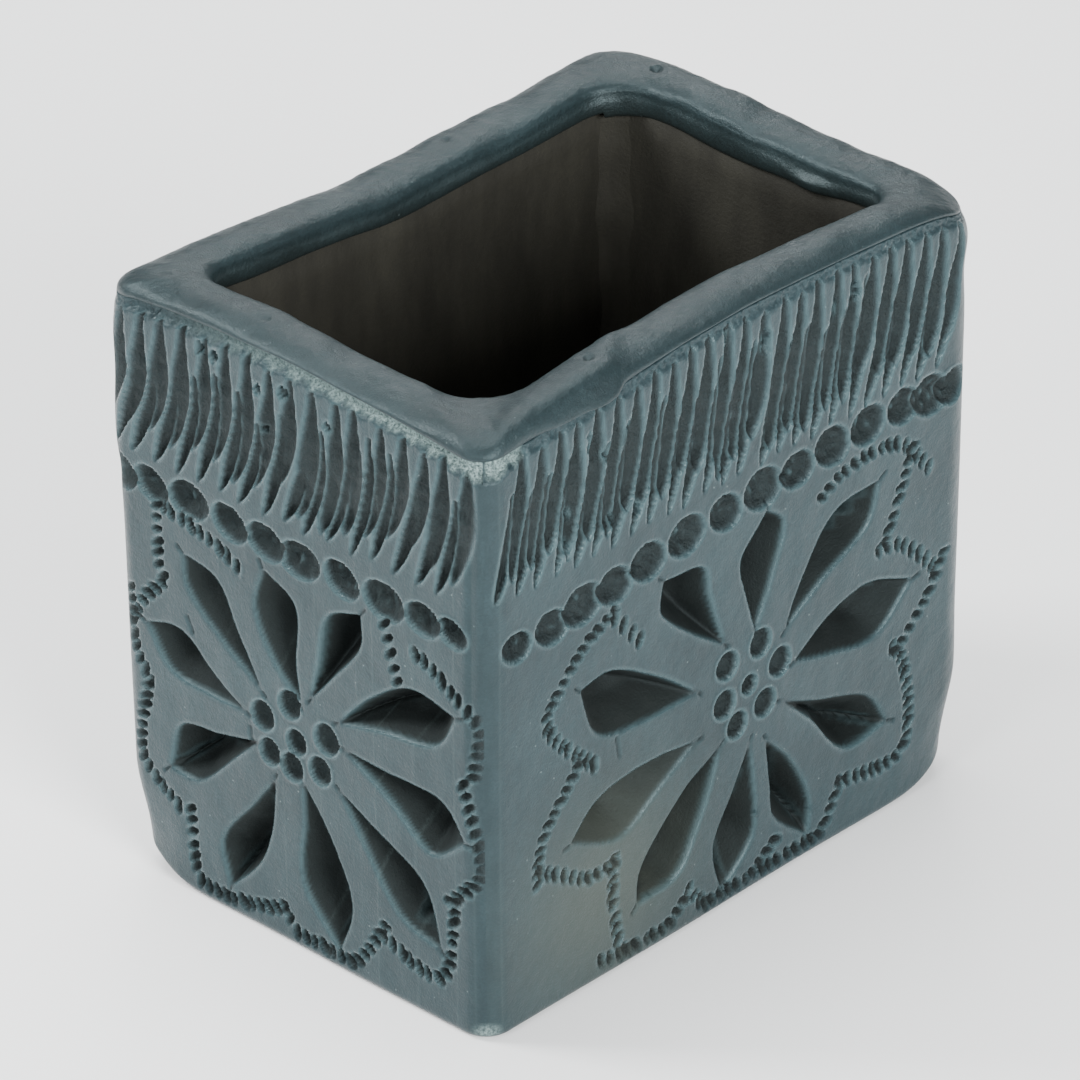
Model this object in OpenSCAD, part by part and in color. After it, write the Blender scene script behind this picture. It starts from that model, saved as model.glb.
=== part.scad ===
// Slab-built black clay desk pot: four carved walls on a floor slab, a folded rim and seam coils.
// Frame: +X along the long faces, +Y to the back, +Z up, origin at the middle of the underside.

/* [Body] */
// Outside length of the long walls, mm
body_w = 100; // [92:1:110]
// Outside length of the short walls, mm
body_d = 72.6; // [70:0.2:80]
// Height from the underside to the top of the rim, mm
body_h = 93.6; // [92:0.2:100]
// Thickness of each wall slab, mm
wall_t = 8.6; // [7:0.2:10]
// Thickness of the floor slab, mm
floor_t = 8; // [5:0.5:10]
// Rounding of the four upright corners, mm
corner_r = 6; // [5.8:0.2:7]

/* [Rim] */
// Height of the rim above the wall tops, mm
rim_h = 3; // [2.6:0.2:6]
// Width of the rim across its top, mm
rim_w = 9.6; // [9:0.2:12]
// Rounding along both top edges of the rim, mm
rim_round = 2.2; // [1:0.2:2.6]
// Rounding of the corners of the mouth, seen from above, mm
mouth_r = 7; // [3:0.5:10]

/* [Seam coils] */
// Hollow radius of the coils pressed into the upright inside corners, mm
corner_coil_r = 7; // [5:0.5:9]
// Hollow radius of the coil pressed round the inside of the floor, mm
floor_coil_r = 4; // [2:0.5:4.5]

/* [Carving] */
// Depth of the flat first step of every petal, mm
pocket_depth = 3.4; // [1:0.2:5]
// Depth of the smaller second step of every petal, mm
heart_depth = 6.4; // [5.2:0.2:6.8]
// Size of the second step, as a share of the petal's outline
heart_share = 0.5; // [0.3:0.05:0.8]
// Depth of the pressed dimples, mm
dimple_depth = 1.3; // [0.6:0.1:2]
// Ball radius of the tool that pressed the dimples, mm
dimple_ball = 4; // [3:0.2:5]
// Depth of the fringe strokes, mm
stroke_depth = 1.1; // [0.4:0.1:2]
// Width of a fringe stroke, mm
stroke_w = 2.6; // [1.6:0.1:3]
// Height where the fringe strokes end, mm
stroke_low = 68; // [67:0.5:74]

/* [Hidden] */
$fn = 64;
wall_h = body_h - rim_h;
in_w = body_w - 2 * wall_t;
in_d = body_d - 2 * wall_t;
mouth_w = body_w - 2 * rim_w;
mouth_d = body_d - 2 * rim_w;

// Petals: inner end, two points up one side, outer tip, two points back down the other side.
long_petals = [
  [[-3.9, 42.7], [-10.5, 47.2], [-16.3, 52.7], [-16, 57.8], [-8, 56.6], [-6.5, 51]],
  [[2.3, 42.3], [0.3, 49], [-0.5, 54.5], [4.8, 60.2], [8.2, 56.8], [5.7, 49.5]],
  [[8.3, 39.6], [12.2, 47.2], [18.5, 54.2], [28, 55.3], [25.2, 48.8], [15.8, 44.3]],
  [[10.2, 33.7], [17.5, 38], [25.8, 39.7], [35.4, 36.4], [27.5, 30.3], [18.5, 31.5]],
  [[7.5, 28.7], [16, 25.2], [26.2, 21.4], [30.7, 15.2], [21.5, 14.6], [14.2, 22.7]],
  [[4.7, 23.9], [5.8, 16], [7, 10], [14, 4.5], [14.4, 10], [10.2, 18]],
  [[1.4, 24.9], [-2.4, 17.8], [-6.1, 11], [-4.3, 3.7], [2.4, 9.8], [2.3, 18.5]],
  [[-4.6, 27], [-12.5, 22.7], [-20.6, 14.8], [-21.8, 9.3], [-13.4, 10.4], [-8.3, 17.7]],
  [[-9.3, 29.8], [-19, 30.7], [-29, 29.4], [-34.8, 24.5], [-25, 21.2], [-16.7, 25.6]],
  [[-9.2, 37.4], [-16.5, 43], [-26, 48.3], [-32.2, 48.2], [-29, 39.3], [-19, 37.4]],
];
short_petals = [
  [[-6.1, 38.3], [-14.3, 43.9], [-20.3, 49.2], [-21.1, 54.6], [-14.2, 53], [-10.4, 46]],
  [[1.4, 39.3], [-3.8, 44.3], [-7.1, 51.5], [-5.3, 58.4], [0.9, 54.5], [0.6, 45.5]],
  [[3.3, 41], [4.9, 47.5], [6.8, 55.4], [13.3, 58.4], [13, 52.8], [7.6, 46]],
  [[8.5, 39.3], [14.5, 45.6], [22.5, 50.5], [31.2, 49.3], [27.2, 43.4], [17, 41.4]],
  [[9.5, 35.6], [17.5, 35.4], [28, 35.2], [32.8, 30], [26, 25.9], [18.5, 30.9]],
  [[8.3, 28.5], [15.5, 25.2], [24.6, 20.4], [27.8, 11], [19.6, 13.4], [13, 21.8]],
  [[0.9, 27], [0.9, 20], [0.6, 10.4], [7.7, 3.1], [10.3, 11], [6.3, 20]],
  [[-4.4, 25.2], [-9.3, 18.9], [-15.6, 11], [-14.3, 4.2], [-8, 10.2], [-5.2, 17.7]],
  [[-6.9, 30], [-15, 28], [-23, 26.3], [-25.7, 18.4], [-19.4, 18.6], [-11.8, 25.6]],
  [[-9.5, 33.8], [-15.3, 37], [-21.8, 42], [-29.3, 40.6], [-24.5, 34.6], [-16, 33.7]],
];
long_ring = [[1, 34.3], [-3.5, 39.2], [3.2, 40], [7.2, 35.3], [4.2, 30], [-1.5, 28.9], [-4, 33.2]];
short_ring = [[0.3, 32.9], [-6.2, 34.6], [-0.8, 38.5], [6.3, 35.8], [4.8, 30.2], [-0.8, 28.5], [-5.1, 29.2]];

// A rectangle with round corners, middle at the origin.
module round_rect(w, d, r) {
  square([w - 2 * r, d], center = true);
  square([w, d - 2 * r], center = true);
  for (sx = [-1, 1], sy = [-1, 1])
    translate([sx * (w / 2 - r), sy * (d / 2 - r)]) circle(r);
}

// Children drawn on an outside face: x along it, y up, z outwards.
module on_face(turn, reach) {
  rotate([0, 0, turn]) translate([0, -reach, 0]) rotate([90, 0, 0]) children();
}

// One petal: a flat step, then a smaller and deeper one that stays short of the inside.
module petal_cut(p) {
  mid = (p[0] + p[1] + p[2] + p[3] + p[4] + p[5]) / 6;
  translate([0, 0, -pocket_depth]) linear_extrude(pocket_depth + 1) polygon(p);
  translate([0, 0, -heart_depth])
    linear_extrude(heart_depth) polygon([for (q = p) mid + heart_share * (q - mid)]);
}

// One pressed dimple of the given share of the full size.
module dimple_cut(x, y, share) {
  translate([x, y, share * (dimple_ball - dimple_depth)]) sphere(share * dimple_ball);
}

// One fringe stroke: a slim four-sided cut whose foot leans to the left.
module stroke_cut(x) {
  translate([x, 0, -stroke_depth]) linear_extrude(stroke_depth + 1)
    polygon([[-1.6, stroke_low], [stroke_w / 2 - 0.3, stroke_low + 7], [0.6, wall_h - 1.4],
             [-stroke_w / 2, stroke_low + 9]]);
}

// The whole decoration of one face.
module carving(petals, ring, strokes, pitch, dimples, gap, dimple_z) {
  for (p = petals) petal_cut(p);
  for (c = ring) dimple_cut(c[0], c[1], 0.68);
  for (i = [0 : strokes - 1]) stroke_cut((i - (strokes - 1) / 2) * pitch);
  for (i = [0 : dimples - 1]) dimple_cut((i - (dimples - 1) / 2) * gap, dimple_z, 1);
}

// The plain slab on the -Y side, mitred at both ends, for a box w long and d deep.
module slab(w, d) {
  linear_extrude(wall_h) intersection() {
    round_rect(w, d, corner_r);
    polygon([[-w / 2, -d / 2], [w / 2, -d / 2], [w / 2 - wall_t, -d / 2 + wall_t],
             [-w / 2 + wall_t, -d / 2 + wall_t]]);
  }
}

module long_wall(turn) {
  difference() {
    rotate([0, 0, turn]) slab(body_w, body_d);
    on_face(turn, body_d / 2) carving(long_petals, long_ring, 24, 3.7, 13, 6.8, 63);
  }
}

module short_wall(turn) {
  difference() {
    rotate([0, 0, turn]) slab(body_d, body_w);
    on_face(turn, body_w / 2) carving(short_petals, short_ring, 14, 4.4, 9, 7.2, 63);
  }
}

module front_wall() {
  color([0.14, 0.17, 0.18]) long_wall(0);
}

module back_wall() {
  color([0.14, 0.17, 0.18]) long_wall(180);
}

module left_wall() {
  color([0.13, 0.16, 0.17]) short_wall(-90);
}

module right_wall() {
  color([0.13, 0.16, 0.17]) short_wall(90);
}

// The slab that closes the bottom, set in between the walls.
module floor_slab() {
  color([0.09, 0.09, 0.08])
    translate([-in_w / 2, -in_d / 2, 0]) cube([in_w, in_d, floor_t]);
}

// A round bar bent into a rectangular loop, along the middle of which w, d and r are measured.
module bar_loop(w, d, r, bar) {
  for (turn = [0, 180])
    rotate([0, 0, turn]) translate([w / 2, d / 2 - r, 0]) rotate([90, 0, 0]) cylinder(r = bar, h = d - 2 * r);
  for (turn = [90, 270])
    rotate([0, 0, turn]) translate([d / 2, w / 2 - r, 0]) rotate([90, 0, 0]) cylinder(r = bar, h = w - 2 * r);
  for (k = [0 : 3])
    translate([(k == 0 || k == 3 ? 1 : -1) * (w / 2 - r), (k < 2 ? 1 : -1) * (d / 2 - r), 0])
      rotate([0, 0, 90 * k]) rotate_extrude(angle = 90) translate([r, 0]) circle(bar);
}

// A flat ring between the outside of the pot and its mouth, drawn in by the given margin.
module ring(margin, h) {
  linear_extrude(h) difference() {
    round_rect(body_w - 2 * margin, body_d - 2 * margin, corner_r - margin);
    round_rect(mouth_w + 2 * margin, mouth_d + 2 * margin, mouth_r + margin);
  }
}

module rim() {
  m = rim_round;
  color([0.16, 0.19, 0.20]) translate([0, 0, wall_h]) {
    ring(0, rim_h - m);
    ring(m, rim_h);
    intersection() {
      translate([0, 0, rim_h - m]) {
        bar_loop(body_w - 2 * m, body_d - 2 * m, corner_r - m, m);
        bar_loop(mouth_w + 2 * m, mouth_d + 2 * m, mouth_r + m, m);
      }
      translate([-body_w, -body_d, 0]) cube([2 * body_w, 2 * body_d, rim_h]);
    }
  }
}

// A clay coil smeared into an upright inside corner: a hollow quarter round.
module corner_coil(sx, sy) {
  r = corner_coil_r;
  color([0.08, 0.08, 0.07])
    translate([sx * (in_w / 2 - r), sy * (in_d / 2 - r), floor_t])
      scale([sx, sy, 1]) linear_extrude(wall_h - floor_t) difference() {
        square([r, r]);
        circle(r);
      }
}

module coil_front_left() {
  corner_coil(-1, -1);
}

module coil_front_right() {
  corner_coil(1, -1);
}

module coil_back_left() {
  corner_coil(-1, 1);
}

module coil_back_right() {
  corner_coil(1, 1);
}

// Section of the floor coil, its corner at the origin, hollow towards -x and +y.
module coil_section() {
  difference() {
    translate([-floor_coil_r, 0]) square(floor_coil_r);
    translate([-floor_coil_r, floor_coil_r]) circle(floor_coil_r);
  }
}

module coil_bar(length, reach) {
  translate([reach, length / 2, 0]) rotate([90, 0, 0]) linear_extrude(length) coil_section();
}

module floor_coil() {
  r = corner_coil_r;
  color([0.08, 0.08, 0.07]) translate([0, 0, floor_t]) {
    for (turn = [0, 180]) rotate([0, 0, turn]) coil_bar(in_d - 2 * r, in_w / 2);
    for (turn = [90, 270]) rotate([0, 0, turn]) coil_bar(in_w - 2 * r, in_d / 2);
    for (k = [0 : 3])
      translate([(k == 0 || k == 3 ? 1 : -1) * (in_w / 2 - r),
                 (k < 2 ? 1 : -1) * (in_d / 2 - r), 0])
        rotate([0, 0, 90 * k]) rotate_extrude(angle = 90) translate([r, 0]) coil_section();
  }
}

front_wall();
back_wall();
left_wall();
right_wall();
floor_slab();
rim();
floor_coil();
coil_front_left();
coil_front_right();
coil_back_left();
coil_back_right();
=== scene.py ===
# Carved black clay desk pot: four slab walls, a floor slab, a rim and the coils in its seams.
# Everything is worked out in millimetres in the part's own frame and put into the mesh in metres.
import math
import bpy
import numpy as np
from mathutils import Matrix, Vector


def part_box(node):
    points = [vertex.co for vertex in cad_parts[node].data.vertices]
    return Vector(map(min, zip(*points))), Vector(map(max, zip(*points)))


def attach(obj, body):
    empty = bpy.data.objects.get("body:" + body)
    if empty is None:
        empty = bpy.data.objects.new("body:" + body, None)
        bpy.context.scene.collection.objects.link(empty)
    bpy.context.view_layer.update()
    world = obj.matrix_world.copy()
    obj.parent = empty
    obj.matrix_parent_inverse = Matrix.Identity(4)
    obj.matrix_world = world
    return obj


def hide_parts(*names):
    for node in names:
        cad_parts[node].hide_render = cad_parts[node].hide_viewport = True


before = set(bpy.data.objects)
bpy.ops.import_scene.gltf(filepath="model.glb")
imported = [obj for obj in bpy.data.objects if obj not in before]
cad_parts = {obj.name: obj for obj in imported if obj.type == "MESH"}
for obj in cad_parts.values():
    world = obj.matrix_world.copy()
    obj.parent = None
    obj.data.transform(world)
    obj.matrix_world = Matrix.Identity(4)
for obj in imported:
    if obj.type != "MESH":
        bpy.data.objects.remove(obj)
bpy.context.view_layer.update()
print("frame loaded")

mm = 1000.0
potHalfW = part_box("right_wall")[1][0] * mm       # half the long side
potHalfD = -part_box("front_wall")[0][1] * mm      # half the short side
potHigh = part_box("rim")[1][2] * mm
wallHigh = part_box("front_wall")[1][2] * mm
wallThick = (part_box("front_wall")[1][1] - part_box("front_wall")[0][1]) * mm
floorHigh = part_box("floor_slab")[1][2] * mm
random = np.random.default_rng(11)

body = {
    "topOut": {"left": 0.5, "right": -0.2, "front": 0.0, "back": -1.2},  # against the plain box
    "footOut": {"left": 0.0, "right": -0.7, "front": -1.5, "back": -1.2},
    "cornerR": {"frontLeft": 4.2, "frontRight": 6.4, "backRight": 6.5, "backLeft": 4.0},
    "footR": 1.3,                       # rounding along the bottom edge
    "footStretch": 1.1,                 # everything above the foot stands this much higher
    "ledgeHigh": 2.0,                   # rough ledge under the rim
    "ledgeIn": 1.3,
    "wave": 0.2,                        # size of the slow hand-made waves
    "cornerReach": 5.6,                 # how far round a corner its rise is felt
    # corners that stand higher: (x side, y side, fading from height, to height, rise);
    # where the second height is 0 the rise is at the foot and fades upwards
    "cornerRise": [(-1, 1, 17, 0, 4.0), (1, -1, 17, 0, 3.9), (1, 1, 17, 0, 2.5), (1, -1, 83, 93, -1.8),
                   (-1, 1, 84, 93, -0.4)],
    "footPull": 0.35, "topPull": 0.5,   # a corner also draws in by this much of its rise
    "cornerWide": 9.0,
    # swellings and hollows down two corners: (height, how tall, outward)
    "rightCorner": [(87, 3.5, 0.6), (80, 4, -0.4), (17, 7, 0.4)],
    "leftCorner": [(84, 5, 0.5), (70, 9, 1.0), (63, 2.5, -0.3)],
}

# how much the top of the walls and the top of the rim stand above their plain heights,
# by compass angle seen from above (0 = right side, 90 = back, 180 = left, -90 = front)
wallLift = [(-180, 1.3), (-165, 0.6), (-151, -0.1), (-141, -1.0), (-135, -1.9), (-130, -0.6),
            (-124, 0.0), (-113, 0.7), (-105, 1.6), (-90, 2.1), (-68, 1.7), (-52, 0.8), (-45, -0.5),
            (-29, -1.8), (-10, -1.5), (0, -1.3), (27, -0.7), (45, -1.3), (62, -2.6), (90, -3.2),
            (102, -2.7), (121, -1.2), (135, -0.2), (150, 0.7), (165, 1.1)]
rimLift = [(-180, 0.0), (-165, -0.5), (-151, -1.1), (-141, -1.5), (-135, -1.3), (-129, -0.1),
           (-121, 0.6), (-90, 1.0), (-60, 0.4), (-45, -1.1), (-29, -2.3), (-15, -2.0), (0, -1.6),
           (27, -0.9), (45, -1.5), (52, -2.0), (62, -2.8), (79, -3.3), (90, -3.5), (102, -2.9),
           (121, -1.4), (135, -0.6), (150, 0.1), (165, 0.3)]


def byAngle(pairs, x, y, blur=3.0):
    # value given at a few compass angles, joined by straight lines, then blurred round the circle
    grid = np.arange(-180, 180, 0.5)
    angle, value = np.array(sorted(pairs)).T
    line = np.interp(grid, angle, value, period=360)
    kernel = np.exp(-0.5 * (np.arange(-30, 31) * 0.5 / blur) ** 2)
    line = np.convolve(np.concatenate([line[-30:], line, line[:30]]), kernel / kernel.sum(), "valid")
    return np.interp(np.degrees(np.arctan2(y / potHalfD, x / potHalfW)), grid, line, period=360)


def smooth(x, low, high):
    # 0 below low, 1 above high, an S curve between
    t = np.clip((x - low) / (high - low), 0, 1)
    return t * t * (3 - 2 * t)


def bell(distance, wide):
    # 1 at no distance, falling as exp(-distance^2 / (2 wide^2))
    return np.exp(-distance ** 2 / (2 * wide ** 2))


def ripple(x, y, z, size, seed):
    # uneven surface: the sum of twelve waves of about one length in random directions
    dice = np.random.default_rng(seed)
    way = dice.normal(size=(12, 3))
    way = way / np.linalg.norm(way, axis=1)[:, None] * (2 * math.pi / size) * dice.uniform(0.7, 1.4, (12, 1))
    turn = dice.uniform(0, 2 * math.pi, 12)
    return sum(np.sin(w[0] * x + w[1] * y + w[2] * z + t) for w, t in zip(way, turn)) / 3.5


def handShape(p):
    # the one bend that every piece shares: slow waves, the lifted rim line and the worn corners
    x, y, z = p.T.copy()
    w = body["wave"]
    lift = byAngle(wallLift, x, y) * smooth(z, 76, wallHigh)
    lift += (byAngle(rimLift, x, y) - byAngle(wallLift, x, y)) * smooth(z, wallHigh - 0.2, potHigh)
    dx = w * np.sin(z * 0.062 + 0.7) * np.sin(y * 0.055 + 1.2) + 0.4 * w * np.sin(y * 0.16 + z * 0.05)
    dy = w * np.sin(x * 0.052 + 0.4) * np.sin(z * 0.07 + 2.0) + 0.4 * w * np.sin(x * 0.13 - z * 0.06)
    dz = lift + body["footStretch"] * smooth(z, 0, 14)
    for sx, sy, low, high, rise in body["cornerRise"]:
        near = bell(np.hypot(x - sx * potHalfW, y - sy * potHalfD), body["cornerReach"])
        near = near * (smooth(z, low, high) if high else 1 - smooth(z, 0, low))
        pull = body["topPull"] if high else body["footPull"]
        dz = dz + rise * near
        dx = dx - sx * pull * abs(rise) * near
        dy = dy - sy * pull * abs(rise) * near
    right = bell(np.hypot(x - potHalfW, y + potHalfD), body["cornerWide"])
    left = bell(np.hypot(x + potHalfW, y - potHalfD), body["cornerWide"])
    dx = dx + right * sum(out * np.exp(-((z - at) / tall) ** 2) for at, tall, out in body["rightCorner"])
    dy = dy + left * sum(out * np.exp(-((z - at) / tall) ** 2) for at, tall, out in body["leftCorner"])
    return np.stack([x + dx, y + dy, z + dz], axis=1)


def sides(z):
    # left, right, front and back of the body at height z, on straight lines from foot to top
    up = np.clip(z / wallHigh, 0, 1)
    out = {k: body["footOut"][k] + (body["topOut"][k] - body["footOut"][k]) * up for k in body["topOut"]}
    return -potHalfW - out["left"], potHalfW + out["right"], -potHalfD - out["front"], potHalfD + out["back"]


def putMesh(name, points, faces, marks=None, slots=None, flatFrom=None, seams=()):
    # one mesh object from points in mm; marks are values per point, slots a material number per face;
    # seams are (points, direction) pairs where the shading has to run on into the next piece
    mesh = bpy.data.meshes.new(name)
    mesh.from_pydata((handShape(points) / mm).tolist(), [], faces)
    smoothFace = np.ones(len(mesh.polygons), dtype=bool)
    if flatFrom is not None:
        smoothFace[flatFrom:] = False
    mesh.polygons.foreach_set("use_smooth", smoothFace)
    if slots is not None:
        mesh.polygons.foreach_set("material_index", np.asarray(slots, dtype=np.int32))
    for key, value in (marks or {}).items():
        layer = mesh.attributes.new(key, "FLOAT", "POINT")
        layer.data.foreach_set("value", np.asarray(value, dtype=np.float32))
    mesh.validate()
    mesh.update()
    if seams:
        normals = np.empty(len(mesh.vertices) * 3)
        mesh.vertex_normals.foreach_get("vector", normals)
        normals = normals.reshape(-1, 3)
        for which, way in seams:                 # normal minus its part across the seam
            n = normals[which] - np.outer(normals[which] @ way, way)
            normals[which] = n / np.linalg.norm(n, axis=1)[:, None]
        mesh.normals_split_custom_set_from_vertices(normals.tolist())
    piece = bpy.data.objects.new(name, mesh)
    bpy.context.scene.collection.objects.link(piece)
    return piece


def gridFaces(rows, cols, wrapRows=False, wrapCols=False):
    # quads of a grid of points numbered row by row, wrapping round where asked
    r = np.arange(rows if wrapRows else rows - 1)
    c = np.arange(cols if wrapCols else cols - 1)
    r, c = np.meshgrid(r, c, indexing="ij")
    r2, c2 = (r + 1) % rows, (c + 1) % cols
    return np.stack([r * cols + c, r * cols + c2, r2 * cols + c2, r2 * cols + c], axis=-1).reshape(-1, 4)


# Petals on the long face: inner end, two points up one side, outer tip, two points back.
# The last two numbers are how steeply the two sides of the cut go down.
longPetals = [
    ([(-3.9, 42.7), (-10.5, 47.2), (-16.3, 52.7), (-16.0, 57.8), (-8.0, 56.6), (-6.5, 51.0)], 2.0, 2.4),
    ([(2.3, 42.3), (0.3, 49.0), (-0.5, 54.5), (4.8, 60.2), (8.2, 56.8), (5.7, 49.5)], 3.0, 1.9),
    ([(8.3, 39.6), (12.2, 47.2), (18.5, 54.2), (28.0, 55.3), (25.2, 48.8), (15.8, 44.3)], 3.0, 1.7),
    ([(10.2, 33.7), (17.5, 38.0), (25.8, 39.7), (35.4, 36.4), (27.5, 30.3), (18.5, 31.5)], 3.2, 1.4),
    ([(7.5, 28.7), (16.0, 25.2), (26.2, 21.4), (30.7, 15.2), (21.5, 14.6), (14.2, 22.7)], 1.4, 2.4),
    ([(4.7, 23.9), (5.8, 16.0), (7.0, 10.0), (14.0, 4.5), (14.4, 10.0), (10.2, 18.0)], 1.4, 2.2),
    ([(1.4, 24.9), (-2.4, 17.8), (-6.1, 11.0), (-4.3, 3.7), (2.4, 9.8), (2.3, 18.5)], 1.3, 1.7),
    ([(-4.6, 27.0), (-12.5, 22.7), (-20.6, 14.8), (-21.8, 9.3), (-13.4, 10.4), (-8.3, 17.7)], 1.2, 2.6),
    ([(-9.3, 29.8), (-19.0, 30.7), (-29.0, 29.4), (-34.8, 24.5), (-25.0, 21.2), (-16.7, 25.6)], 3.0, 1.15),
    ([(-9.2, 37.4), (-16.5, 43.0), (-26.0, 48.3), (-32.6, 47.9), (-29.0, 39.3), (-19.0, 37.4)], 3.0, 1.25),
]
shortPetals = [
    ([(-6.1, 38.3), (-14.3, 43.9), (-20.3, 49.2), (-21.1, 54.6), (-14.2, 53.0), (-10.4, 46.0)], 1.3, 3.2),
    ([(1.4, 39.3), (-3.8, 44.3), (-7.1, 51.5), (-5.3, 58.4), (0.9, 54.5), (0.6, 45.5)], 1.4, 3.2),
    ([(3.3, 41.0), (4.9, 47.5), (6.8, 55.4), (13.3, 58.4), (13.0, 52.8), (7.6, 46.0)], 3.2, 2.3),
    ([(8.5, 39.3), (14.5, 45.6), (22.5, 50.5), (31.2, 49.3), (27.2, 43.4), (17.0, 41.4)], 2.9, 2.1),
    ([(9.5, 35.6), (17.5, 35.4), (28.0, 35.2), (32.8, 30.0), (26.0, 25.9), (18.5, 30.9)], 3.1, 2.0),
    ([(8.3, 28.5), (15.5, 25.2), (24.6, 20.4), (27.8, 11.0), (19.6, 13.4), (13.0, 21.8)], 2.9, 1.7),
    ([(0.9, 27.0), (0.9, 20.0), (0.6, 10.4), (7.7, 3.1), (10.3, 11.0), (6.3, 20.0)], 1.7, 2.3),
    ([(-4.4, 25.2), (-9.3, 18.9), (-15.6, 11.0), (-14.3, 4.2), (-8.0, 10.2), (-5.2, 17.7)], 1.6, 2.2),
    ([(-6.9, 30.0), (-15.0, 28.0), (-23.0, 26.3), (-25.7, 18.4), (-19.4, 18.6), (-11.8, 25.6)], 2.0, 1.7),
    ([(-9.5, 33.8), (-15.3, 37.0), (-21.8, 42.0), (-29.3, 40.6), (-24.5, 34.6), (-16.0, 33.7)], 2.5, 1.6),
]

# Each face, in mm from its middle and up from the foot: its petals; those with a knife slit along
# the valley; gouged pits (petal, x, z, half length, half width); the seven dots at the flower's
# middle (x, z, radius); the thumb dimples (x, z) and where the near corner is; the rows of small
# nicks round the petals; the gouge strokes; cracks (x, z, height), pits (x, z, radius) and
# scratches (x, z to x, z).
longFace = {
    "petals": longPetals,
    "slit": [4, 5, 6],
    "pit": [(3, 27.5, 37.0, 3.4, 1.1), (2, 23.0, 52.2, 3.2, 1.5)],
    "dots": [(1.0, 34.3, 1.5), (-3.5, 39.2, 2.1), (3.2, 40.0, 2.1), (7.2, 35.3, 2.2), (4.2, 30.0, 2.1),
             (-1.5, 28.9, 2.0), (-4.0, 33.2, 2.1)],
    "dimples": [(-44.8, 60.1), (-38.1, 60.3), (-32.1, 61.2), (-25.8, 61.4), (-19.2, 62.3), (-11.5, 63.0),
                (-3.7, 63.3), (3.8, 63.9), (10.8, 64.0), (17.9, 64.7), (25.4, 64.9), (32.8, 64.8),
                (38.6, 64.2), (43.5, 63.8)],
    "dimpleSize": (3.6, 2.95), "nearEnd": -50.0,
    "nicks": [
        [(-20.8, 50.8), (-25.8, 56.4)],
        [(-25.8, 57.7), (-32.1, 54.3), (-37.5, 48.9), (-39.2, 45.6), (-36.3, 41.0), (-29.8, 35.0)],
        [(-32.9, 36.4), (-36.3, 32.7), (-39.6, 28.9), (-41.0, 25.6), (-41.4, 21.4)],
        [(-40.8, 23.0), (-35.4, 19.9), (-31.3, 17.7), (-25.8, 17.7)],
        [(-26.4, 18.5), (-26.5, 11.8), (-25.4, 5.2), (-23.3, 3.1)],
        [(-29.2, 4.3), (-18.3, 2.7), (-12.1, 6.0)],
        [(-11.3, 7.3), (-8.3, 3.9), (-5.8, 1.6), (0.0, 2.8), (7.1, 6.8)],
        [(4.2, 3.0), (11.7, 1.8), (16.7, 3.9), (20.8, 9.8)],
        [(20.8, 9.8), (33.3, 8.9), (35.0, 16.0), (33.3, 24.3), (31.3, 27.3)],
        [(32.1, 26.0), (35.8, 29.3), (39.6, 33.5), (42.1, 38.1)],
        [(27.9, 43.9), (32.5, 43.1), (38.8, 37.7), (40.0, 35.2)],
        [(29.2, 44.8), (31.3, 48.9), (35.0, 57.7)],
        [(15.8, 57.5), (19.2, 59.3), (24.2, 60.2), (29.2, 60.0), (33.3, 58.5), (38.3, 53.1)],
    ],
    "strokes": {"first": -43.0, "last": 44.6, "count": 25, "top": 89.4, "foot": 67.6, "sweep": 3.2,
                "wide": 3.85, "deep": 1.3, "jitter": 0.45},
    "cracks": [(-30.3, 85.0, 2.6), (-26.8, 82.1, 2.4), (-34.5, 70.8, 2.4), (-25.4, 70.8, 2.2),
               (-20.8, 71.2, 1.8), (-22.1, 84.2, 1.6), (-3.3, 87.9, 2.6), (5.2, 84.6, 2.8),
               (10.6, 83.2, 1.8), (19.0, 84.2, 2.0), (-33.7, 75.4, 1.6), (23.2, 85.4, 2.0)],
    "pits": [],
    "leanFoot": (1.55, -1.3),          # the face leans out at the top, so marks near the foot shift
    "scratch": [(-24.5, 36.5, -24.0, 33.5)],
}
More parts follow.
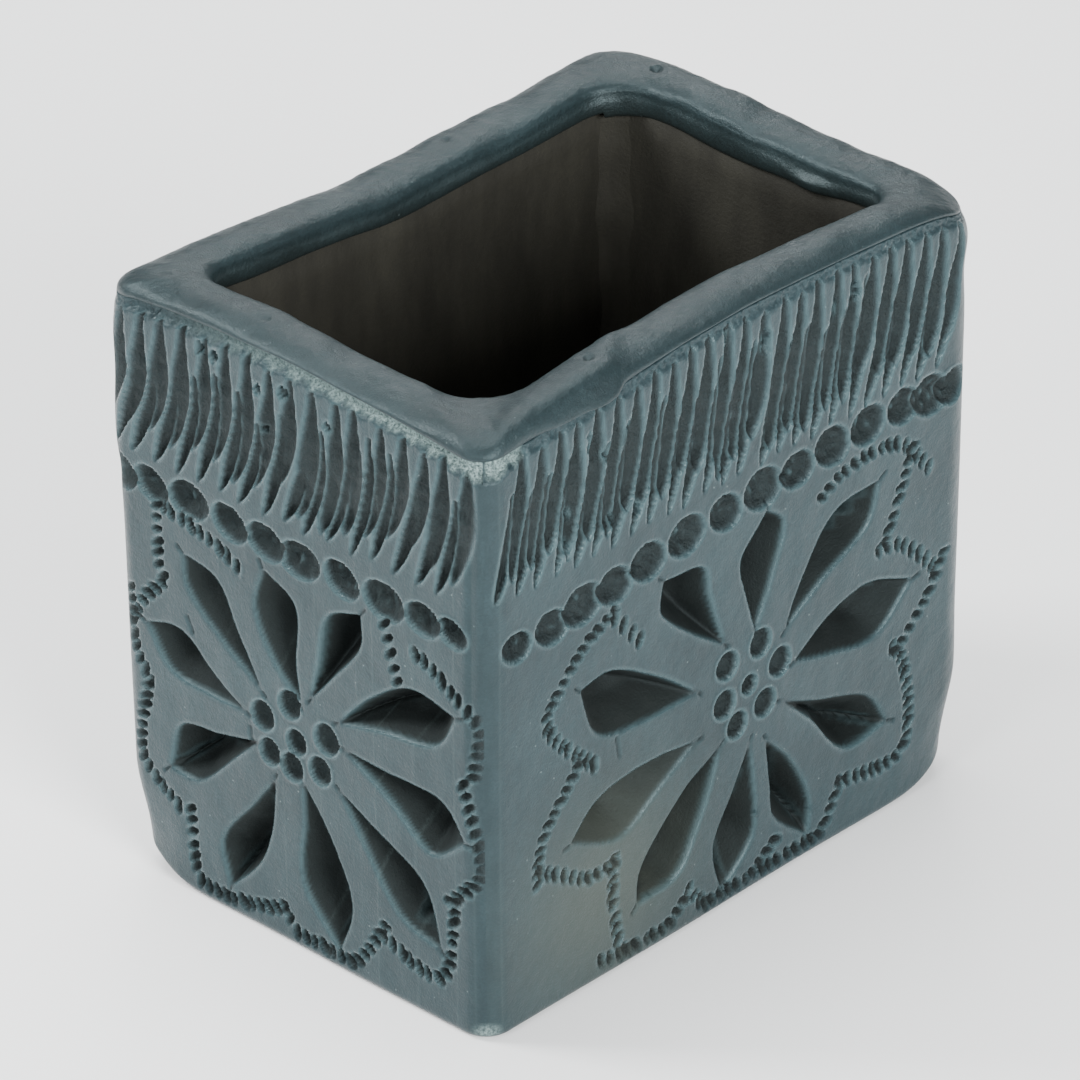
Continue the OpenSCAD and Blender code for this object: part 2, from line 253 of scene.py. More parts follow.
shortFace = {
    "petals": shortPetals,
    "slit": [5, 6, 7, 8, 3],
    "pit": [(5, 23.6, 15.6, 2.6, 1.9)],
    "dots": [(0.3, 32.9, 1.9), (-6.2, 34.6, 2.2), (-0.8, 38.5, 2.1), (6.3, 35.8, 2.3), (4.8, 30.2, 2.1),
             (-0.8, 28.5, 2.1), (-5.1, 29.2, 2.0)],
    "dimples": [(-33.4, 63.1), (-26.6, 63.1), (-19.3, 63.5), (-11.3, 63.1), (-4.4, 62.8), (2.0, 62.4),
                (9.9, 62.5), (17.8, 62.3), (25.1, 62.3), (30.6, 62.3)],
    "dimpleSize": (3.65, 2.65), "nearEnd": 36.0,
    "nicks": [
        [(-25.9, 60.2), (-25.9, 51.0), (-25.1, 48.5), (-28.4, 45.2), (-32.6, 39.3)],
        [(-24.7, 60.6), (-15.1, 58.9), (-10.1, 56.8)],
        [(-32.2, 44.8), (-31.8, 36.8), (-28.8, 31.0)],
        [(-29.3, 30.2), (-31.3, 21.0), (-30.1, 16.8), (-24.3, 12.7)],
        [(-21.8, 13.1), (-20.9, 3.9), (-16.8, 2.3), (-7.6, 3.9), (-3.4, 5.3)],
        [(-3.4, 5.3), (-0.9, 2.7), (3.3, 1.5), (8.3, 1.7), (12.4, 4.3), (17.0, 10.6)],
        [(16.6, 8.9), (24.9, 6.8), (29.1, 8.9), (30.8, 20.2)],
        [(29.9, 19.8), (35.0, 25.2), (35.0, 29.3), (32.4, 39.3)],
        [(34.1, 41.0), (35.0, 46.8), (34.1, 50.2), (27.0, 55.2), (23.7, 56.4)],
        [(17.8, 58.9), (20.3, 50.6)],
    ],
    "strokes": {"first": -32.0, "last": 33.3, "count": 17, "top": 88.8, "foot": 67.3, "sweep": 3.6,
                "wide": 4.05, "deep": 1.3, "jitter": 0.45},
    "cracks": [(-16.7, 87.5, 1.4)],
    "pits": [(-13.7, 87.1, 0.7), (-0.8, 86.2, 0.7), (-5.4, 85.2, 0.6), (7.5, 84.6, 0.5), (-5.0, 79.6, 0.4),
             (-15.3, 83.3, 0.5)],
    "leanFoot": (-0.2, -0.2),
    "scratch": [(-9.0, 31.6, -8.8, 29.0), (-20.6, 44.6, -19.6, 42.4)],
}


def curveThrough(points, steps=8):
    # a curve through all the points: cubic pieces whose slope at each point is half the step across it
    p = np.array(points, dtype=float)
    p = np.vstack([2 * p[0] - p[1], p, 2 * p[-1] - p[-2]])
    t = np.linspace(0, 1, steps, endpoint=False)[:, None]
    parts = [0.5 * (2 * b + (c - a) * t + (2 * a - 5 * b + 4 * c - d) * t ** 2
                    + (3 * b - a - 3 * c + d) * t ** 3)
             for a, b, c, d in zip(p[:-3], p[1:-2], p[2:-1], p[3:])]
    return np.vstack(parts + [p[-2:-1]])


def nearestOn(line, x, z):
    # distance to a broken line and the nearest point on it: the closest of all its straight pieces
    best, bx, bz = np.full(x.shape, 1e9), x.copy(), z.copy()
    for (x0, z0), (x1, z1) in zip(line[:-1], line[1:]):
        dx, dz = x1 - x0, z1 - z0
        t = np.clip(((x - x0) * dx + (z - z0) * dz) / (dx * dx + dz * dz + 1e-12), 0, 1)
        px, pz = x0 + t * dx, z0 + t * dz
        d = np.hypot(x - px, z - pz)
        closer = d < best
        best, bx, bz = np.where(closer, d, best), np.where(closer, px, bx), np.where(closer, pz, bz)
    return best, bx, bz


def insideOf(loop, x, z):
    # odd number of edges crossed going right means inside
    inside = np.zeros(x.shape, dtype=bool)
    for (x0, z0), (x1, z1) in zip(loop, np.roll(loop, -1, axis=0)):
        if z0 != z1:
            crosses = ((z0 > z) != (z1 > z)) & (x < (x1 - x0) * (z - z0) / (z1 - z0) + x0)
            inside ^= crosses
    return inside


def leaned(points, lean):
    # moves marks read on an upright face onto the leaning one, more the lower they are
    p = np.array(points, dtype=float)
    low = 1 - p[:, 1:2] / wallHigh
    p[:, :2] = p[:, :2] + np.array(lean) * low
    return p


def spread(values, reach):
    # running mean over a few grid cells along both directions of the grid
    for axis in (0, 1):
        pad = [(reach, reach) if a == axis else (0, 0) for a in (0, 1)]
        total = np.cumsum(np.pad(values, pad, mode="edge"), axis=axis)
        width = 2 * reach + 1
        total = np.concatenate([np.zeros_like(np.take(total, [0], axis=axis)), total], axis=axis)
        at = np.arange(values.shape[axis])
        values = (np.take(total, at + width, axis=axis) - np.take(total, at, axis=axis)) / width
    return values


petalCut = {
    "snap": 0.52,                       # share of a grid step within which points move onto an outline
    "valleyRound": 0.5,                 # mm^2, how much the valley is worn round
    "slowBelow": 4.8,                   # mm, past this depth the cut goes down at 0.6 of its slope
    "slitDeep": 2.6, "pitDeep": 3.2,    # mm, knife slits in a valley, and gouged pits
    "wornDeep": 0.14, "wornWide": 0.7,  # mm, worn edge round the cut
    "runOn": 1.3, "runBack": 0.8,       # mm, how far the knife ran past the tip and the inner end
    "runDeep": 0.45, "runWide": 0.35,
    "behind": 1.2,                      # mm of wall always left behind a well
}


def carvePetals(face, s, z, step):
    # sharp-edged wells: depth is the smaller of (steepness x distance) to the two sides, so they
    # meet in a valley; grid points close to an outline are moved onto it so the edge is crisp
    depth, well = np.zeros(s.shape), np.zeros(s.shape)
    for number, (points, steepA, steepB) in enumerate(face["petals"]):
        p = leaned(points, face["leanFoot"])
        sideA, sideB = curveThrough(p[[0, 1, 2, 3]]), curveThrough(p[[3, 4, 5, 0]])
        loop = np.vstack([sideA[:-1], sideB[:-1]])
        lo, hi = loop.min(axis=0) - 2, loop.max(axis=0) + 2
        part = np.where((s > lo[0]) & (s < hi[0]) & (z > lo[1]) & (z < hi[1]))
        x, h = s[part], z[part]
        dA, ax, az = nearestOn(sideA, x, h)
        dB, bx, bz = nearestOn(sideB, x, h)
        inside = insideOf(loop, x, h)
        onEdge = np.minimum(dA, dB) < step * petalCut["snap"]
        s[part] = np.where(onEdge, np.where(dA < dB, ax, bx), x)
        z[part] = np.where(onEdge, np.where(dA < dB, az, bz), h)
        a, b = steepA * dA, steepB * dB
        wobble = 1 + 0.06 * np.sin(x * 0.9 + number) * np.sin(h * 0.8 + 2 * number)
        d = 0.5 * (a + b - np.sqrt((a - b) ** 2 + petalCut["valleyRound"]))
        d = np.clip(d, 0, None) * wobble
        slow = petalCut["slowBelow"]
        d = np.where(d > slow, slow + (d - slow) * 0.6, d)
        if number in face["slit"]:
            valley = np.clip(1 - np.abs(a - b) / 0.75, 0, 1) * smooth(np.minimum(a, b), 1.3, 2.6)
            d = d + petalCut["slitDeep"] * valley
        for owner, px, pz, long, wide in face["pit"]:
            if owner == number:
                pl = leaned([(px, pz)], face["leanFoot"])[0]
                axis = p[3] - p[0]
                axis = axis / np.hypot(*axis)
                u = (x - pl[0]) * axis[0] + (h - pl[1]) * axis[1]
                v = -(x - pl[0]) * axis[1] + (h - pl[1]) * axis[0]
                v = v + 0.35 * np.sin(u * 2.1 + 1)
                d = d + petalCut["pitDeep"] * smooth(1.25 - np.hypot(u / long, v / wide), 0, 0.45)
        worn = petalCut["wornDeep"]
        soft = worn * np.clip(1 - np.minimum(dA, dB) / petalCut["wornWide"], 0, 1) ** 2
        d = np.where(inside, np.minimum(d, wallThick - petalCut["behind"]) + worn, soft)
        d = np.where(onEdge, worn, d)
        depth[part] = np.maximum(depth[part], d)
        well[part] = np.maximum(well[part], np.where(inside, smooth(d, 0.1, 0.8), 0))
        tip, belly = p[3], 0.5 * (p[2] + p[4])        # the knife ran on a little past the tip
        way = (tip - belly) / np.hypot(*(tip - belly))
        for anchor, length in ((tip, petalCut["runOn"]), (p[0], -petalCut["runBack"])):
            away, _, _ = nearestOn(np.array([anchor, anchor + way * length]), x, h)
            score = petalCut["runDeep"] * np.clip(1 - away / petalCut["runWide"], 0, 1)
            depth[part] = np.maximum(depth[part], np.where(inside, 0, score))
    return depth, well


def carveStrokes(face, s, z):
    # leaf-shaped gouge strokes in two overlapping rows: section (1 - (across / half width)^2),
    # half width growing fast from the top and closing to the foot, centre line swept to the left
    k = face["strokes"]
    depth = np.zeros(s.shape)
    tops = np.linspace(k["first"], k["last"], k["count"])
    pitch = tops[1] - tops[0]
    jig = random.normal(size=(k["count"], 8)) * k["jitter"]
    rows = []
    for x0, j in zip(tops, jig):
        rows.append((x0 + 0.5 * j[0], k["top"] + 0.8 * j[1], x0 - 0.8 * k["sweep"] + 0.5 * j[2],
                     k["foot"] + 3.0 + 2.6 * j[3], k["wide"] * (0.98 + 0.12 * j[4]), 1.0))
        between = x0 - 0.5 * pitch + 0.5 * j[5]
        rows.append((between, k["top"] - 6.0 + 4.0 * j[6], between - k["sweep"], k["foot"] + 0.8 * j[7],
                     k["wide"] * (0.62 + 0.1 * j[4]), 0.95))
    for xTop, zTop, xFoot, zFoot, wide, strong in rows:
        part = np.where((z < zTop + 0.5) & (z > zFoot - 0.5) & (np.abs(s - 0.5 * (xTop + xFoot)) < 7))
        x, h = s[part], z[part]
        long = zTop - zFoot
        t = np.clip((zTop - h) / long, 0, 1)
        centre = xTop + (xFoot - xTop) * t ** 1.9
        swell = 0.36 + 0.66 * smooth(t, 0.0, 0.6)
        caps = np.sqrt(np.clip(t * long / 0.9, 0, 1)) * (1 - t ** 4) ** 0.7
        half = 0.5 * wide * 1.12 * swell * caps + 1e-3
        across = (x - centre) / half
        d = k["deep"] * strong * (0.5 + 0.5 * smooth(t, 0, 0.4)) * np.clip(1 - across ** 2, 0, 1)
        depth[part] = np.maximum(depth[part], d * smooth(caps, 0, 0.5))
    return depth


tooling = {
    "dry": 0.85,                        # how far a pressed or gouged place takes the dry cut finish
    "dimpleDeep": 2.0, "dotDeep": 1.6, "crackDeep": 1.3, "pitDeep": 1.2, "scratchDeep": 0.35,
    "nickPitch": 1.62, "nickDeep": 0.95, "nickLow": 2.4,
    "nearShrink": 0.5, "nearReach": 7,  # thumb dimples get smaller by the near corner
}


def carveFace(face, s, z, step):
    # everything cut or pressed into one face, as a depth and as finish marks: each press is a bowl
    # (1 - r^2)^n of its own outline, r being the distance from its middle over its radius
    depth, well = carvePetals(face, s, z, step)
    lean = face["leanFoot"]
    strokes = carveStrokes(face, s, z)
    strokes = strokes * (1 + 0.07 * ripple(s, z, z * 0, 3.0, 5))
    cut = tooling["dry"] * smooth(strokes, 0.25, 0.75)
    depth = np.maximum(depth, strokes)
    pressed = np.zeros(s.shape)
    a, b = face["dimpleSize"]
    for number, (x0, z0) in enumerate(leaned(face["dimples"], lean)):
        u, v = (s - x0), (z - z0)
        turn = 0.25 + 0.25 * math.sin(number * 2.3)
        u, v = u * math.cos(turn) - v * math.sin(turn), u * math.sin(turn) + v * math.cos(turn)
        size = 1 + 0.07 * math.sin(number * 3.7 + 1)
        fromNear = (x0 - face["nearEnd"]) / tooling["nearReach"]
        size = size * (1 - tooling["nearShrink"] * math.exp(-fromNear ** 2))
        r2 = (u / (a * size)) ** 2 + (v / (b * size)) ** 2
        bowl = np.clip(1 - r2, 0, 1) ** 0.6 * (1 - 0.22 * u / a + 0.12 * v / b)
        lip = np.exp(-((np.sqrt(r2) - 1.08) / 0.1) ** 2) * (0.5 + 0.5 * np.sin(np.arctan2(v, u) - 0.6))
        bowl = bowl * (1 + 0.1 * ripple(s, z, z * 0, 1.7, 30 + number))
        pressed = np.maximum(pressed, tooling["dimpleDeep"] * bowl) - 0.16 * lip * (bowl <= 0)
        cut = np.maximum(cut, tooling["dry"] * smooth(bowl, 0.1, 0.5))
    for x0, z0, r in leaned(face["dots"], lean):
        r2 = ((s - x0) / r) ** 2 + ((z - z0) / (r * 1.05)) ** 2
        bowl = np.clip(1 - r2, 0, 1) ** 0.55
        lip = np.exp(-((np.sqrt(r2) - 1.12) / 0.12) ** 2)
        pressed = pressed + tooling["dotDeep"] * bowl - 0.12 * lip
        cut = np.maximum(cut, tooling["dry"] * smooth(bowl, 0.1, 0.5))
    for line in face["nicks"]:
        path = curveThrough(leaned(line, lean))
        run = np.concatenate([[0], np.cumsum(np.hypot(*np.diff(path, axis=0).T))])
        count = max(2, int(run[-1] / tooling["nickPitch"]))
        at = np.linspace(0, run[-1], count) + random.normal(size=count) * 0.12
        xs, zs = np.interp(at, run, path[:, 0]), np.interp(at, run, path[:, 1])
        zs = np.maximum(zs, tooling["nickLow"])
        ax, az = np.gradient(xs), np.gradient(zs)
        for x0, z0, tx, tz, r in zip(xs, zs, ax, az, random.normal(size=count)):
            part = np.where((np.abs(s - x0) < 2) & (np.abs(z - z0) < 2))
            angle = math.atan2(tz, tx) + 0.35 + 0.12 * r
            u = (s[part] - x0) * math.cos(angle) + (z[part] - z0) * math.sin(angle)
            v = -(s[part] - x0) * math.sin(angle) + (z[part] - z0) * math.cos(angle)
            v = v + 0.35 * u
            r2 = (u / (0.72 + 0.05 * r)) ** 2 + (v / (1.25 + 0.12 * r)) ** 2
            nick = np.clip(1 - r2, 0, 1) ** 0.7
            lip = 0.12 * np.exp(-((u - 0.95) / 0.3) ** 2 - (v / 1.1) ** 2)
            pressed[part] = np.maximum(pressed[part], tooling["nickDeep"] * nick) - lip
            cut[part] = np.maximum(cut[part], smooth(nick, 0.1, 0.6))
    for x0, z0, tall in face["cracks"]:
        r2 = ((s - x0 + 0.12 * np.sin(z * 3)) / 0.42) ** 2 + ((z - z0) / (tall * 0.7)) ** 2
        pressed = pressed + tooling["crackDeep"] * np.clip(1 - r2, 0, 1) ** 0.5
    for x0, z0, r in face["pits"]:
        r2 = ((s - x0) ** 2 + ((z - z0) * 0.8) ** 2) / r ** 2
        pressed = pressed + tooling["pitDeep"] * np.clip(1 - r2, 0, 1) ** 0.5
    for x0, z0, x1, z1 in face["scratch"]:
        d, _, _ = nearestOn(np.array([(x0, z0), (x1, z1)]), s, z)
        pressed = pressed + tooling["scratchDeep"] * np.clip(1 - d / 0.4, 0, 1)
    depth = np.where(well > 0, depth, depth + pressed)
    return depth, cut, well


wallSizes = {
    "step": 0.31, "strokeStep": 0.36,   # grid steps of the skin, below and in the band of strokes
    "strokesFrom": 66, "innerRows": 14,
    "ledgeFade": 5.5,                   # the ledge dies out over this length before a corner
    "shadeWide": 3.6,                   # painted shade: a darker band down the near corner
    "warmLight": (-27, 13, 17, 15),          # painted pool of warm light: middle x and z, half width and height
    "pad": (2.6, 1.7),                  # bare clay at the near bottom corner, wide and high
}


def wallCorner(name):
    # for each wall, the radii at its two ends
    r = body["cornerR"]
    return {"front": (r["frontLeft"], r["frontRight"]), "right": (r["frontRight"], r["backRight"]),
            "back": (r["backRight"], r["backLeft"]), "left": (r["backLeft"], r["frontLeft"])}[name]


def wallSpan(name, z):
    # ends and outward reach of a wall at height z, measured along the wall as seen from outside
    left, right, front, back = sides(z)
    return {"front": (left, right, -front), "right": (front, back, right),
            "back": (-right, -left, back), "left": (-back, -front, -left)}[name]


def makeWall(name, face, turn, paleLedge):
    # outer skin = long straight run with half of each corner's arc, pushed in by the carving;
    # inner skin a plain plane one slab thickness in; the two join over the top and under the foot
    step = wallSizes["step"]
    r0, r1 = wallCorner(name)
    loTop, hiTop, _ = wallSpan(name, np.array(wallHigh))
    startArc, endArc = float(loTop) + r0, float(hiTop) - r1
    sFirst, sLast = startArc - r0 * math.pi / 4, endArc + r1 * math.pi / 4
    cols = int((sLast - sFirst) / step) + 1
    sCol = np.linspace(sFirst, sLast, cols)
    footR = body["footR"]
    bend = footR * (1 - np.cos(np.linspace(0, math.pi / 2, 7)))[:-1]
    upper = np.arange(footR, wallSizes["strokesFrom"], step)
    strokeRows = np.arange(upper[-1] + step, wallHigh - 2.2, wallSizes["strokeStep"])
    zOut = np.concatenate([bend, upper, strokeRows, np.linspace(wallHigh - 2.0, wallHigh, 10)])
    inset = footR - np.sqrt(np.clip(footR ** 2 - np.clip(footR - zOut, 0, footR) ** 2, 0, None))
    s, z = np.meshgrid(sCol, zOut)
    scallop = 0.55 * np.abs(np.sin(math.pi * s / 4.1 + 0.4)) - 0.3
    if name in ("front", "left"):                  # the ledge hangs lower towards the near corner
        scallop = scallop + 1.0 * np.exp(-((s - (sFirst if name == "front" else sLast)) / 4.0) ** 2)
    ledge = np.clip((z - wallHigh + body["ledgeHigh"] + scallop) / body["ledgeHigh"], 0, 1)
    ledgeAlong, fade = np.ones(cols), wallSizes["ledgeFade"]
    if name != "front":                            # it dies out before every corner but the near one
        ledgeAlong = smooth(sCol, sFirst + 1, sFirst + 1 + fade)
    if name != "left":
        ledgeAlong = ledgeAlong * (1 - smooth(sCol, sLast - 1 - fade, sLast - 1))
    if name in ("front", "back"):
        ledgeAlong = ledgeAlong * (0.3 + 0.7 * (1 - smooth(sCol, -44.0, -41.5)))
    ledgeIn = body["ledgeIn"] * smooth(ledge, 0, 0.5) * (0.12 + 0.88 * ledgeAlong)[None, :]
    depth, cut, well = carveFace(face, s, z, step)
    ends = smooth(s, sFirst, sFirst + 2.4) * (1 - smooth(s, sLast - 2.4, sLast))
    depth = depth * ends
    hump = spread(depth, 2) - depth                 # above its surroundings on an edge, below in a hollow
    # painted highlight: lighter colour along ridges and cut edges
    edge = np.clip((hump - 0.04) / 0.2, 0, 1) * (1 - 0.75 * spread((well > 0) * 1.0, 3)) * smooth(z, 1.5, 4)
    # painted shade: darker colour in the concave hollows
    hollow = np.clip(-hump / 0.25, 0, 1)
    skinWave = 0.035 * ripple(s, z, z * 0 + turn, 6.5, 3) + 0.014 * ripple(s, z, z * 0 + turn, 2.2, 4)
    toolWave = 0.05 * ripple(s, z * 0.45, z * 0 + turn, 0.95, 6) * smooth(cut, 0.2, 0.6)
    plain = smooth(s, sFirst, sFirst + 3) * (1 - smooth(s, sLast - 3, sLast)) * smooth(z, 0.5, 2.5)
    depth = depth + (skinWave + toolWave) * plain
    crease = 0.28 * np.exp(-((s - sLast + 1.7) / 0.55) ** 2) * smooth(z, 30, 60) if name == "left" else 0
    depth = (depth + crease) * (1 - smooth(ledge, 0.1, 0.6))
    torn = 0.16 * ripple(s, z, z * 0 + turn, 0.8, 8) * smooth(ledge, 0.2, 0.6)
    depth = depth + torn * (1 - smooth(ledge, 0.9, 1.0)) * ends
    shade, warmLight = np.zeros(cut.shape), np.zeros(cut.shape)
    if name in ("front", "left"):                   # painted shade down the near corner
        fromEnd = s - sFirst if name == "front" else sLast - s
        uneven = 0.75 + 0.25 * ripple(s, z * 0.2, z * 0, 2.0, 41)
        shade = np.exp(-(fromEnd / wallSizes["shadeWide"]) ** 2) * uneven
    if name == "front":
        # painted pool of warm light low on the front face
        warmX, warmZ, warmWide, warmTall = wallSizes["warmLight"]
        warmLight = np.exp(-((s - warmX) / warmWide) ** 2 - ((z - warmZ) / warmTall) ** 2)
    # rows after the skin: over the top, down the inside, back under the foot
    extraZ = np.concatenate([[wallHigh] * 3, np.linspace(wallHigh, 0, wallSizes["innerRows"]), [0, 0]])
    extraIn = np.concatenate([[2.6, 4.6, 6.8], [wallThick] * wallSizes["innerRows"],
                              [wallThick * 0.75, wallThick * 0.5]])
    s = np.vstack([s, np.tile(sCol, (len(extraZ), 1))])
    z = np.vstack([z, np.tile(extraZ[:, None], (1, cols))])
    totalIn = np.vstack([inset[:, None] + ledgeIn + depth, np.tile(extraIn[:, None], (1, cols))])
    blank = np.zeros((len(extraZ), cols))
    cut, well, edge, hollow, shade, warmLight = [
        np.vstack([mark, blank]) for mark in (cut, well, edge, hollow, shade, warmLight)]
    lo, hi, reach = wallSpan(name, z)
    # outer point: straight run stretched to this height's ends, then the arc
    run = lo + r0 + (s - startArc) * (hi - r1 - lo - r0) / (endArc - startArc)
    before = np.clip((startArc - s) / r0, 0, math.pi / 4)
    after = np.clip((s - endArc) / r1, 0, math.pi / 4)
    along = np.where(s < startArc, lo + r0 - r0 * np.sin(before),
                     np.where(s > endArc, hi - r1 + r1 * np.sin(after), run))
    out = reach - r0 * (1 - np.cos(before)) - r1 * (1 - np.cos(after))
    # inner point: straight in over most of the wall, squeezed towards the mitre near its ends
    keepLo, keepHi = lo + wallThick + 3, hi - wallThick - 3
    arcIn = 1 - math.sqrt(0.5)                      # half way round an arc, its reach in from the side
    squeezeLo = keepLo - 3 * (keepLo - along) / (keepLo - (lo + arcIn * r0))
    squeezeHi = keepHi + 3 * (along - keepHi) / ((hi - arcIn * r1) - keepHi)
    alongIn = np.where(along < keepLo, squeezeLo, np.where(along > keepHi, squeezeHi, along))
    share = totalIn / wallThick
    along, out = along + (alongIn - along) * share, out + (reach - wallThick - out) * share
    cosTurn, sinTurn = math.cos(math.radians(turn)), math.sin(math.radians(turn))
    points = np.stack([along * cosTurn + out * sinTurn, along * sinTurn - out * cosTurn, z], axis=-1)
    points = points.reshape(-1, 3)
    rows = len(z)
    faces = gridFaces(rows, cols, wrapRows=True)
    count = len(zOut)
    slots = np.repeat((np.arange(rows) >= count + 2).astype(int), cols - 1)
    first, last = (np.arange(rows) * cols).tolist(), (np.arange(rows) * cols + cols - 1).tolist()
    faces = faces.tolist() + [first, last[::-1]]
    slots = np.concatenate([slots, [1, 1]])
    pale = np.zeros((rows, cols))
    skinS, skinZ = s[:count], z[:count]
    if paleLedge:                                   # bare clay fades in and out between these places
        strength = smooth(skinS, paleLedge[0], paleLedge[1]) * (1 - smooth(skinS, paleLedge[2], paleLedge[3]))
        ragged = 0.35 * np.sin(skinS * 1.7) + 0.25 * np.sin(skinS * 4.1 + 1)
        pale[:count] = strength * smooth(ledge + 0.25 * ragged, 0.1, 0.4)
    if name in ("front", "left"):
        end = sFirst if name == "front" else sLast
        padWide, padHigh = wallSizes["pad"]
        pad = np.clip(1 - np.hypot((skinS - end) / padWide, (skinZ - 1.2) / padHigh), 0, 1)
        pale[:count] = np.maximum(pale[:count], 0.8 * pad)
    marks = {"cutMark": cut.ravel(), "wellMark": well.ravel(), "paleMark": pale.ravel(),
             "deepMark": np.clip(totalIn, 0, 8).ravel() / 8, "edgeMark": edge.ravel(),
             "hollowMark": hollow.ravel(), "shadeMark": shade.ravel(), "warmLightMark": warmLight.ravel()}
    seams = []
    for column, side in ((0, -1), (cols - 1, 1)):          # direction across the mitre, level
        way = np.array([side * cosTurn - sinTurn, side * sinTurn + cosTurn, 0.0]) * math.sqrt(0.5)
        seams.append((np.arange(count) * cols + column, way))
    piece = putMesh(name + "Wall", points, faces, marks, slots, flatFrom=len(faces) - 2, seams=seams)
    print(name, "wall:", cols, "x", rows, "points")
    return piece


frontWall = makeWall("front", longFace, 0, (-49.6, -48.8, -44.0, -42.2))
leftWall = makeWall("left", shortFace, -90, (-30.0, 18.0, 38.0, 40.0))
backWall = makeWall("back", longFace, 180, None)
rightWall = makeWall("right", shortFace, 90, None)


rimSizes = {
    "wide": {"left": 8.6, "right": 8.8, "front": 8.5, "back": 9.5},
    "mouthR": {"frontLeft": 10.0, "frontRight": 6.0, "backRight": 7.5, "backLeft": 6.0},
    # section, from the seam outside over the top to the inner edge:
    # (share of the width, height between seam 0 and top 1)
    "over": [(0.13, 0.0), (0.05, 0.1), (0.02, 0.26), (0.045, 0.5), (0.12, 0.74), (0.25, 0.92),
             (0.42, 1.0), (0.6, 1.0), (0.78, 0.95), (0.9, 0.84), (0.955, 0.7), (0.985, 0.52)],
    # then in mm: (inwards past the mouth line, below the seam)
    "lip": [(-0.08, -0.9), (0.08, -0.35), (0.34, 0.2), (0.44, 0.9), (0.28, 1.6), (-0.3, 2.0), (-1.0, 2.2)],
    "cornerCols": 44, "longCols": 190, "shortCols": 140,
    # small pits in the top: (x, y, radius, depth)
    "pits": [(45.5, 22.0, 0.9, 0.7), (-25.5, -31.5, 0.8, 0.5), (12.0, 31.0, 0.7, 0.3),
             (-46.0, 8.0, 0.6, 0.3)],
    "ripples": [(0.1, 9.0, 21), (0.035, 2.6, 22), (0.02, 1.1, 23)],    # (height, length, seed)
}


def loopPoints(xl, xh, yl, yh, radii):
    # rounded rectangle walked anticlockwise from the front-left corner's arc, the same share of
    # points on every side and corner so that two loops match point for point
    n, a, b = rimSizes["cornerCols"], rimSizes["longCols"], rimSizes["shortCols"]
    parts = []
    corners = [(xl, yl, radii["frontLeft"], 180, 1, 1, a), (xh, yl, radii["frontRight"], 270, -1, 1, b),
               (xh, yh, radii["backRight"], 0, -1, -1, a), (xl, yh, radii["backLeft"], 90, 1, -1, b)]
    arcs = []
    for cx, cy, r, start, sx, sy, _ in corners:
        t = np.radians(start + np.linspace(0, 90, n, endpoint=False))
        arcs.append(np.stack([cx + sx * r + r * np.cos(t), cy + sy * r + r * np.sin(t)], axis=1))
    ends = [np.array([[xl + radii["frontLeft"], yl]]), np.array([[xh, yl + radii["frontRight"]]]),
            np.array([[xh - radii["backRight"], yh]]), np.array([[xl, yh - radii["backLeft"]]])]
    for arc, end, follow, corner in zip(arcs, ends, [a[:1] for a in arcs[1:] + arcs[:1]], corners):
        t = np.linspace(0, 1, corner[6], endpoint=False)[:, None]
        parts += [arc, end + (follow - end) * t]
    return np.vstack(parts)


